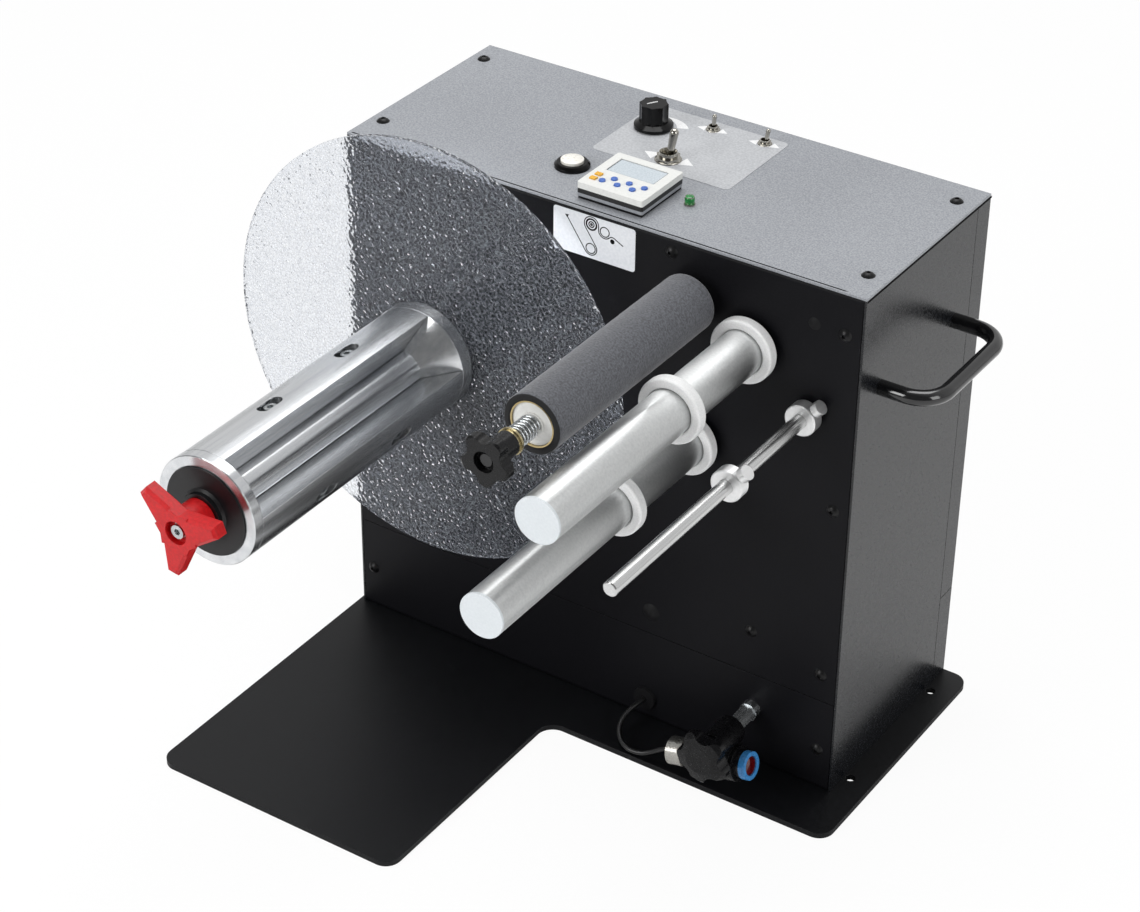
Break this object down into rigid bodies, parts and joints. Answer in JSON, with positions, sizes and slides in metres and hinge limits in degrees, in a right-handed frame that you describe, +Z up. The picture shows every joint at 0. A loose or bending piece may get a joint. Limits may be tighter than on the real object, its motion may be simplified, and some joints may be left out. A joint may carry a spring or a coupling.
{
  "type": "label rewinder",
  "caption": "Bench-top label rewinder with an expanding core chuck, clear flange disc, sprung foam roller, guide rollers and a label sensor.",
  "frame": {"origin": "underside of the base plate, straight below the spindle axis, in the plane of the front panel's outer face", "axes": "+X to the right along the front, +Y to the rear, +Z up; the spindle and rollers point along -Y"},
  "size_m": [0.5018, 0.434, 0.3992],
  "materials": {
    "black_powder_coat": "fine-textured satin black powder coat",
    "cover_powder_coat": "fine-textured satin powder coat",
    "black_oxide": "black oxide steel",
    "black_rubber": "moulded black rubber",
    "gloss_black_coat": "gloss black coat",
    "drive_metal": "machined and painted iron and steel",
    "supply_plastic": "moulded plastic and board",
    "turned_steel": "turned bright steel",
    "zinc_steel": "bright zinc plated steel",
    "nickel_plate": "bright nickel plate",
    "black_gloss_plastic": "moulded gloss black",
    "counter_plastic": "moulded light grey",
    "turned_aluminium": "turned and polished",
    "clear_disc": "clear with leather grain",
    "black_plastic": "moulded satin black",
    "red_plastic": "moulded red",
    "foam": "fine-celled foam rubber",
    "tube_brass": "drawn brass",
    "satin_anodised": "satin clear anodised",
    "white_nylon": "turned white nylon",
    "stop_aluminium": "turned bright",
    "sensor_plastic": "moulded and plated",
    "button_plastic": "moulded off-white",
    "yellow_key_plastic": "moulded yellow",
    "blue_key_plastic": "moulded blue"
  },
  "bodies": {
    "cabinet": {"base_plate": "black_powder_coat", "side_panels": "black_powder_coat", "front_panel_upper": "black_powder_coat", "front_panel_lower": "black_powder_coat", "rear_panels": "black_powder_coat", "top_cover": "cover_powder_coat", "panel_screws": "black_oxide", "rubber_seals": "black_rubber", "carry_handle": "gloss_black_coat", "spindle_drive": "drive_metal", "power_unit": "supply_plastic", "roller_shafts": "turned_steel", "edge_rod": "turned_steel", "sensor_stud": "zinc_steel", "sensor_cable": "black_rubber", "top_bushes": "nickel_plate", "button_bezel": "black_gloss_plastic", "counter_case": "counter_plastic", "tension_spring": "zinc_steel"},
    "spindle": {"spindle_shaft": "turned_steel", "chuck_hub": "turned_aluminium", "flange_disc": "clear_disc", "jaw_screws": "zinc_steel"},
    "jaw_1": {"jaw_1": "turned_aluminium"},
    "jaw_2": {"jaw_2": "turned_aluminium"},
    "jaw_3": {"jaw_3": "turned_aluminium"},
    "front_cone": {"front_cone": "turned_aluminium", "end_plate": "black_plastic"},
    "chuck_knob": {"wing_knob": "red_plastic", "draw_screw": "zinc_steel"},
    "foam_roller": {"foam_sleeve": "foam", "roller_core": "tube_brass"},
    "tension_washers": {"tension_washers": "tube_brass"},
    "tension_knob": {"tension_knob": "black_plastic"},
    "upper_roller": {"guide_roller_upper": "satin_anodised"},
    "lower_roller": {"guide_roller_lower": "satin_anodised"},
    "upper_collar_rear": {"upper_collar_rear": "white_nylon"},
    "upper_collar_front": {"upper_collar_front": "white_nylon"},
    "lower_collar_rear": {"lower_collar_rear": "white_nylon"},
    "lower_collar_front": {"lower_collar_front": "white_nylon"},
    "stop_collar_rear": {"stop_collar_rear": "stop_aluminium"},
    "stop_collar_front": {"stop_collar_front": "stop_aluminium"},
    "thumb_screw_rear": {"thumb_screw_rear": "stop_aluminium"},
    "thumb_screw_front": {"thumb_screw_front": "stop_aluminium"},
    "sensor_head": {"sensor_clamp": "black_plastic", "sensor_barrel": "sensor_plastic"},
    "sensor_knob": {"sensor_knob": "black_plastic"},
    "speed_knob": {"speed_knob": "black_gloss_plastic"},
    "direction_toggle_lever": {"direction_toggle_lever": "nickel_plate"},
    "left_toggle_lever": {"left_toggle_lever": "nickel_plate"},
    "right_toggle_lever": {"right_toggle_lever": "nickel_plate"},
    "push_button": {"push_button": "button_plastic"},
    "counter_key_1": {"counter_key_1": "yellow_key_plastic"},
    "counter_key_2": {"counter_key_2": "yellow_key_plastic"},
    "counter_key_3": {"counter_key_3": "blue_key_plastic"},
    "counter_key_4": {"counter_key_4": "blue_key_plastic"},
    "counter_key_5": {"counter_key_5": "blue_key_plastic"},
    "counter_key_6": {"counter_key_6": "blue_key_plastic"},
    "counter_key_7": {"counter_key_7": "blue_key_plastic"},
    "counter_key_8": {"counter_key_8": "blue_key_plastic"}
  },
  "joints": [
    {"name": "spindle_turn", "type": "hinge", "parent": "cabinet", "child": "spindle", "pos_m": [0, 0, 0.244], "axis": [0, 1, 0], "continuous": true},
    {"name": "front_cone_slide", "type": "slide", "parent": "spindle", "child": "front_cone", "axis": [0, 1, 0], "range_m": [0, 0.0028]},
    {"name": "chuck_knob_turn", "type": "hinge", "parent": "front_cone", "child": "chuck_knob", "pos_m": [0, 0, 0.244], "axis": [0, 1, 0], "range_deg": [0, 576]},
    {"name": "jaw_1_slide", "type": "slide", "parent": "spindle", "child": "jaw_1", "axis": [-0.1494, 0.5725, 0.8062], "range_m": [0, 0.00245]},
    {"name": "jaw_2_slide", "type": "slide", "parent": "spindle", "child": "jaw_2", "axis": [0.7729, 0.5725, -0.2737], "range_m": [0, 0.00245]},
    {"name": "jaw_3_slide", "type": "slide", "parent": "spindle", "child": "jaw_3", "axis": [-0.6235, 0.5725, -0.5325], "range_m": [0, 0.00245]},
    {"name": "foam_roller_turn", "type": "hinge", "parent": "cabinet", "child": "foam_roller", "pos_m": [0.191, -0.09, 0.3396], "axis": [0, 1, 0], "continuous": true},
    {"name": "tension_slide", "type": "slide", "parent": "cabinet", "child": "tension_washers", "axis": [0, 1, 0], "range_m": [0, 0.0025], "deforming": ["tension_spring"]},
    {"name": "tension_knob_turn", "type": "hinge", "parent": "tension_washers", "child": "tension_knob", "pos_m": [0.191, -0.21, 0.3396], "axis": [0, 1, 0], "range_deg": [0, 720]},
    {"name": "upper_roller_turn", "type": "hinge", "parent": "cabinet", "child": "upper_roller", "pos_m": [0.2316, -0.117, 0.3195], "axis": [0, 1, 0], "continuous": true},
    {"name": "lower_roller_turn", "type": "hinge", "parent": "cabinet", "child": "lower_roller", "pos_m": [0.1932, -0.117, 0.2388], "axis": [0, 1, 0], "continuous": true},
    {"name": "upper_collar_rear_slide", "type": "slide", "parent": "upper_roller", "child": "upper_collar_rear", "axis": [0, 1, 0], "range_m": [-0.04, 0.002]},
    {"name": "upper_collar_front_slide", "type": "slide", "parent": "upper_roller", "child": "upper_collar_front", "axis": [0, 1, 0], "range_m": [-0.13, 0.03]},
    {"name": "lower_collar_rear_slide", "type": "slide", "parent": "lower_roller", "child": "lower_collar_rear", "axis": [0, 1, 0], "range_m": [-0.04, 0.002]},
    {"name": "lower_collar_front_slide", "type": "slide", "parent": "lower_roller", "child": "lower_collar_front", "axis": [0, 1, 0], "range_m": [-0.13, 0.03]},
    {"name": "stop_collar_rear_slide", "type": "slide", "parent": "cabinet", "child": "stop_collar_rear", "axis": [0, 1, 0], "range_m": [-0.03, 0.002]},
    {"name": "stop_collar_front_slide", "type": "slide", "parent": "cabinet", "child": "stop_collar_front", "axis": [0, 1, 0], "range_m": [-0.115, 0.03]},
    {"name": "thumb_screw_rear_turn", "type": "hinge", "parent": "stop_collar_rear", "child": "thumb_screw_rear", "pos_m": [0.275, -0.0075, 0.286], "axis": [0.6997, 0, 0.7145], "range_deg": [0, 180]},
    {"name": "thumb_screw_front_turn", "type": "hinge", "parent": "stop_collar_front", "child": "thumb_screw_front", "pos_m": [0.275, -0.094, 0.286], "axis": [0.6997, 0, 0.7145], "range_deg": [0, 180]},
    {"name": "sensor_swivel", "type": "hinge", "parent": "cabinet", "child": "sensor_head", "pos_m": [0.2468, -0.038, 0.0465], "axis": [0, 1, 0], "range_deg": [-5, 25], "deforming": ["sensor_cable"]},
    {"name": "sensor_knob_turn", "type": "hinge", "parent": "cabinet", "child": "sensor_knob", "pos_m": [0.2468, -0.058, 0.0465], "axis": [0, 1, 0], "range_deg": [0, 180]},
    {"name": "speed_knob_turn", "type": "hinge", "parent": "cabinet", "child": "speed_knob", "pos_m": [0.0856, 0.1187, 0.384], "axis": [0, 0, 1], "range_deg": [-150, 150]},
    {"name": "direction_toggle_tilt", "type": "hinge", "parent": "cabinet", "child": "direction_toggle_lever", "pos_m": [0.1179, 0.085, 0.374], "axis": [0, 1, 0], "range_deg": [-20, 0]},
    {"name": "left_toggle_tilt", "type": "hinge", "parent": "cabinet", "child": "left_toggle_lever", "pos_m": [0.1194, 0.1375, 0.374], "axis": [0, 1, 0], "range_deg": [-14, 6]},
    {"name": "right_toggle_tilt", "type": "hinge", "parent": "cabinet", "child": "right_toggle_lever", "pos_m": [0.1572, 0.1394, 0.374], "axis": [0, 1, 0], "range_deg": [-20, 0]},
    {"name": "push_button_press", "type": "slide", "parent": "cabinet", "child": "push_button", "axis": [0, 0, -1], "range_m": [0, 0.0025], "stiffness_N_per_m": 300},
    {"name": "counter_key_1_press", "type": "slide", "parent": "cabinet", "child": "counter_key_1", "axis": [0, 0, -1], "range_m": [0, 0.0005], "stiffness_N_per_m": 200},
    {"name": "counter_key_2_press", "type": "slide", "parent": "cabinet", "child": "counter_key_2", "axis": [0, 0, -1], "range_m": [0, 0.0005], "stiffness_N_per_m": 200},
    {"name": "counter_key_3_press", "type": "slide", "parent": "cabinet", "child": "counter_key_3", "axis": [0, 0, -1], "range_m": [0, 0.0005], "stiffness_N_per_m": 200},
    {"name": "counter_key_4_press", "type": "slide", "parent": "cabinet", "child": "counter_key_4", "axis": [0, 0, -1], "range_m": [0, 0.0005], "stiffness_N_per_m": 200},
    {"name": "counter_key_5_press", "type": "slide", "parent": "cabinet", "child": "counter_key_5", "axis": [0, 0, -1], "range_m": [0, 0.0005], "stiffness_N_per_m": 200},
    {"name": "counter_key_6_press", "type": "slide", "parent": "cabinet", "child": "counter_key_6", "axis": [0, 0, -1], "range_m": [0, 0.0005], "stiffness_N_per_m": 200},
    {"name": "counter_key_7_press", "type": "slide", "parent": "cabinet", "child": "counter_key_7", "axis": [0, 0, -1], "range_m": [0, 0.0005], "stiffness_N_per_m": 200},
    {"name": "counter_key_8_press", "type": "slide", "parent": "cabinet", "child": "counter_key_8", "axis": [0, 0, -1], "range_m": [0, 0.0005], "stiffness_N_per_m": 200}
  ],
  "couplings": [
    {"joint": "chuck_knob_turn", "follows": "front_cone_slide", "rad_per_m": 3590.4},
    {"joint": "jaw_1_slide", "follows": "front_cone_slide", "ratio": 0.87341},
    {"joint": "jaw_2_slide", "follows": "front_cone_slide", "ratio": 0.87341},
    {"joint": "jaw_3_slide", "follows": "front_cone_slide", "ratio": 0.87341},
    {"joint": "tension_slide", "follows": "tension_knob_turn", "m_per_rad": 0.00019894}
  ]
}
